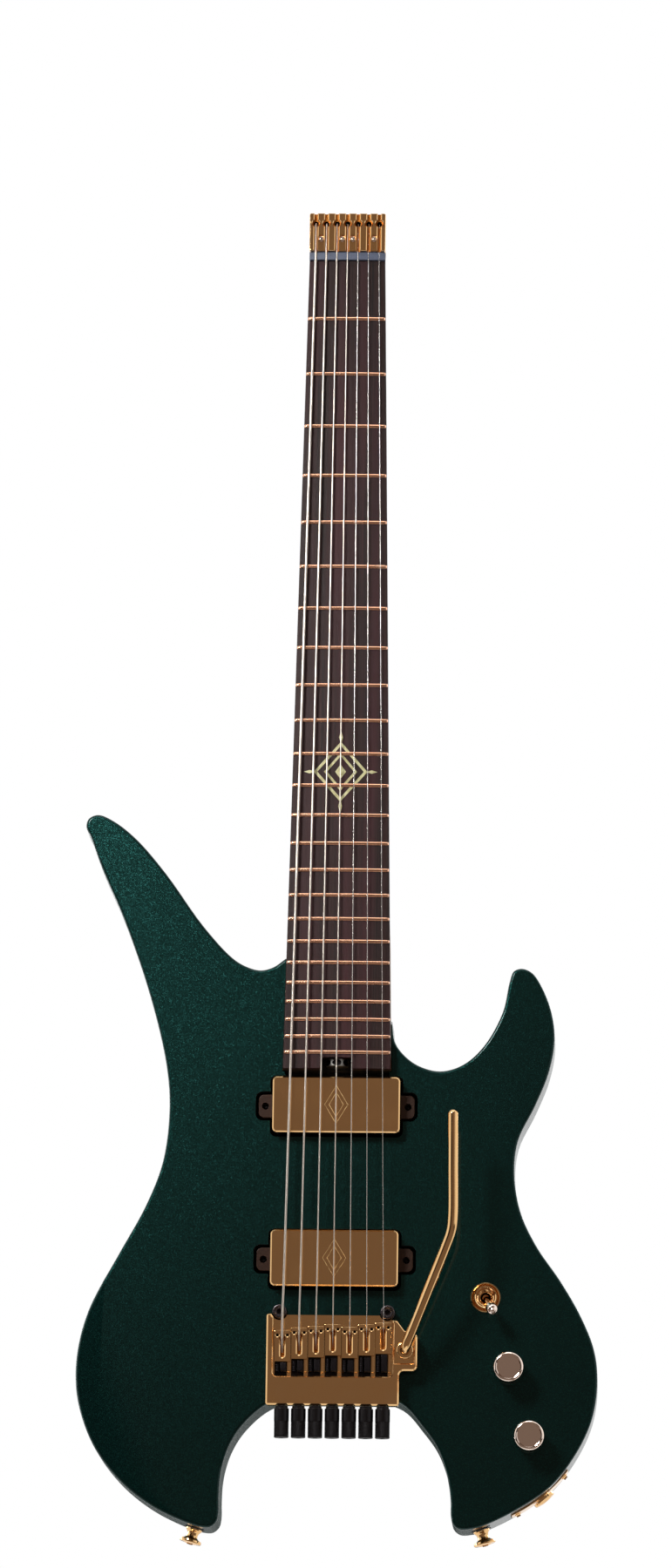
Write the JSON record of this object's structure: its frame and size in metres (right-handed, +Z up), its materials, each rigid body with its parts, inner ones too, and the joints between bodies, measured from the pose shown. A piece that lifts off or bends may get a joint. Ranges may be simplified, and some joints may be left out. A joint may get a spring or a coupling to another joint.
{
  "type": "headless electric guitar",
  "caption": "Headless electric guitar with a double-horned body, bolt-on neck, locking tremolo with tuners behind the bridge, covered pickups, two knobs and a switch.",
  "frame": {"origin": "On the neck's centre line, level with the ends of the two lower strap buttons, 4 mm behind the body's flat front", "axes": "+Z up along the neck, -Y out of the front towards the player's view, +X towards the thin strings"},
  "size_m": [0.3227, 0.099, 0.839],
  "materials": {
    "green_lacquer": "metallic green lacquer, gloss",
    "neck_wood": "satin",
    "fretboard_wood": "oiled, with bronze-coloured frets",
    "gold_plate": "polished gold plate",
    "black_metal": "black",
    "steel": "plain",
    "string_steel": "bright",
    "brass": "satin",
    "graphite": "blue-grey, matt",
    "dark_plastic": "dark brown, matt",
    "black_plastic": "black, satin"
  },
  "bodies": {
    "guitar": {"body": "green_lacquer", "claw_screw_bass": "steel", "claw_screw_treble": "steel", "control_cover": "black_plastic", "fretboard": "fretboard_wood", "headpiece": "gold_plate", "jack_plate": "gold_plate", "neck": "neck_wood", "nut": "graphite", "output_jack": "gold_plate", "pickup_base_bridge": "dark_plastic", "pickup_base_neck": "dark_plastic", "pickup_cover_bridge": "gold_plate", "pickup_cover_neck": "gold_plate", "pivot_post_bass": "black_metal", "pivot_post_treble": "black_metal", "spring_claw": "steel", "strap_button_bass": "gold_plate", "strap_button_horn": "gold_plate", "strap_button_treble": "gold_plate", "string_1": "string_steel", "string_2": "string_steel", "string_3": "string_steel", "string_4": "string_steel", "string_5": "string_steel", "string_6": "string_steel", "string_7": "string_steel", "switch_body": "dark_plastic", "switch_ring": "gold_plate", "tone_pot": "steel", "trem_cover": "black_plastic", "trem_spring_1": "steel", "trem_spring_2": "steel", "trem_spring_3": "steel", "truss_rod": "steel", "volume_pot": "steel"},
    "tremolo": {"trem_plate": "gold_plate", "trem_block": "brass", "arm_collar": "gold_plate"},
    "arm": {"trem_arm": "gold_plate"},
    "switch_lever": {"switch_lever": "gold_plate"},
    "volume_knob": {"volume_knob": "gold_plate"},
    "tone_knob": {"tone_knob": "gold_plate"},
    "truss_wheel": {"truss_wheel": "black_metal"},
    "saddle_1": {"saddle_1": "gold_plate"},
    "tuner_1": {"tuner_1": "black_metal"},
    "saddle_2": {"saddle_2": "gold_plate"},
    "tuner_2": {"tuner_2": "black_metal"},
    "saddle_3": {"saddle_3": "gold_plate"},
    "tuner_3": {"tuner_3": "black_metal"},
    "saddle_4": {"saddle_4": "gold_plate"},
    "tuner_4": {"tuner_4": "black_metal"},
    "saddle_5": {"saddle_5": "gold_plate"},
    "tuner_5": {"tuner_5": "black_metal"},
    "saddle_6": {"saddle_6": "gold_plate"},
    "tuner_6": {"tuner_6": "black_metal"},
    "saddle_7": {"saddle_7": "gold_plate"},
    "tuner_7": {"tuner_7": "black_metal"}
  },
  "joints": [
    {"name": "tremolo_pivot", "type": "hinge", "parent": "guitar", "child": "tremolo", "pos_m": [0, -0.009, 0.142], "axis": [1, 0, 0], "range_deg": [-10, 3], "stiffness_Nm_per_rad": 15, "deforming": ["string_1", "string_2", "string_3", "string_4", "string_5", "string_6", "string_7", "trem_spring_1", "trem_spring_2", "trem_spring_3"]},
    {"name": "arm_swivel", "type": "hinge", "parent": "tremolo", "child": "arm", "pos_m": [0.04448, -0.016, 0.118], "axis": [0, -1, 0], "range_deg": [-110, 15]},
    {"name": "switch_throw", "type": "hinge", "parent": "guitar", "child": "switch_lever", "pos_m": [0.0936, 0, 0.1527], "axis": [-0.9026, 0, -0.4305], "range_deg": [0, 50]},
    {"name": "volume_turn", "type": "hinge", "parent": "guitar", "child": "volume_knob", "pos_m": [0.1084, -0.004, 0.1081], "axis": [0, -1, 0], "range_deg": [0, 270]},
    {"name": "tone_turn", "type": "hinge", "parent": "guitar", "child": "tone_knob", "pos_m": [0.1214, -0.004, 0.0659], "axis": [0, -1, 0], "range_deg": [0, 270]},
    {"name": "tuner_1_turn", "type": "hinge", "parent": "tremolo", "child": "tuner_1", "pos_m": [-0.0311, -0.0128, 0.0838], "axis": [0, 0, 1], "continuous": true},
    {"name": "tuner_2_turn", "type": "hinge", "parent": "tremolo", "child": "tuner_2", "pos_m": [-0.02073, -0.0128, 0.0838], "axis": [0, 0, 1], "continuous": true},
    {"name": "tuner_3_turn", "type": "hinge", "parent": "tremolo", "child": "tuner_3", "pos_m": [-0.01037, -0.0128, 0.0838], "axis": [0, 0, 1], "continuous": true},
    {"name": "tuner_4_turn", "type": "hinge", "parent": "tremolo", "child": "tuner_4", "pos_m": [0, -0.0128, 0.0838], "axis": [0, 0, 1], "continuous": true},
    {"name": "tuner_5_turn", "type": "hinge", "parent": "tremolo", "child": "tuner_5", "pos_m": [0.01037, -0.0128, 0.0838], "axis": [0, 0, 1], "continuous": true},
    {"name": "tuner_6_turn", "type": "hinge", "parent": "tremolo", "child": "tuner_6", "pos_m": [0.02073, -0.0128, 0.0838], "axis": [0, 0, 1], "continuous": true},
    {"name": "tuner_7_turn", "type": "hinge", "parent": "tremolo", "child": "tuner_7", "pos_m": [0.0311, -0.0128, 0.0838], "axis": [0, 0, 1], "continuous": true},
    {"name": "saddle_1_slide", "type": "slide", "parent": "tremolo", "child": "saddle_1", "axis": [0, 0, 1], "range_m": [-0.002, 0.0018]},
    {"name": "saddle_2_slide", "type": "slide", "parent": "tremolo", "child": "saddle_2", "axis": [0, 0, 1], "range_m": [-0.002, 0.0018]},
    {"name": "saddle_3_slide", "type": "slide", "parent": "tremolo", "child": "saddle_3", "axis": [0, 0, 1], "range_m": [-0.002, 0.0018]},
    {"name": "saddle_4_slide", "type": "slide", "parent": "tremolo", "child": "saddle_4", "axis": [0, 0, 1], "range_m": [-0.002, 0.0018]},
    {"name": "saddle_5_slide", "type": "slide", "parent": "tremolo", "child": "saddle_5", "axis": [0, 0, 1], "range_m": [-0.002, 0.0018]},
    {"name": "saddle_6_slide", "type": "slide", "parent": "tremolo", "child": "saddle_6", "axis": [0, 0, 1], "range_m": [-0.002, 0.0018]},
    {"name": "saddle_7_slide", "type": "slide", "parent": "tremolo", "child": "saddle_7", "axis": [0, 0, 1], "range_m": [-0.002, 0.0018]},
    {"name": "truss_wheel_turn", "type": "hinge", "parent": "guitar", "child": "truss_wheel", "pos_m": [0, -0.0048, 0.30028], "axis": [0, 0, 1], "range_deg": [-180, 180]}
  ]
}
